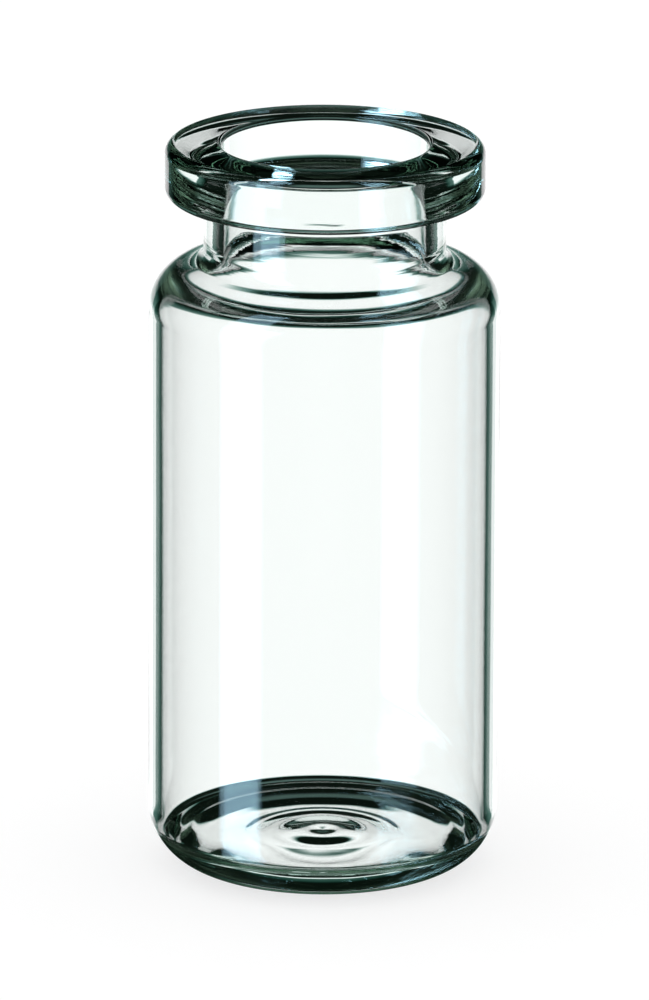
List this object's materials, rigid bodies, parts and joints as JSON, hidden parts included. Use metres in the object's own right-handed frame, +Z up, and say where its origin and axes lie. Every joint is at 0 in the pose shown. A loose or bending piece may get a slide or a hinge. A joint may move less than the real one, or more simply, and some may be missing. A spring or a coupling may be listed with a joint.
{
  "type": "glass sample vial",
  "caption": "Round clear glass vial: straight body on a thick, nearly flat base, sloped shoulder, short neck with a straight bore, and a crimp flange for a stopper and seal.",
  "frame": {"origin": "centre of the standing ring, in the plane that the vial stands on", "axes": "+Z up along the axis, out of the mouth; the part is a body of revolution, so +X and +Y have no meaning of their own"},
  "size_m": [0.022, 0.022, 0.0467],
  "materials": {
    "glass": "clear, fire polished"
  },
  "bodies": {
    "root": {"vial": "glass"}
  },
  "joints": []
}
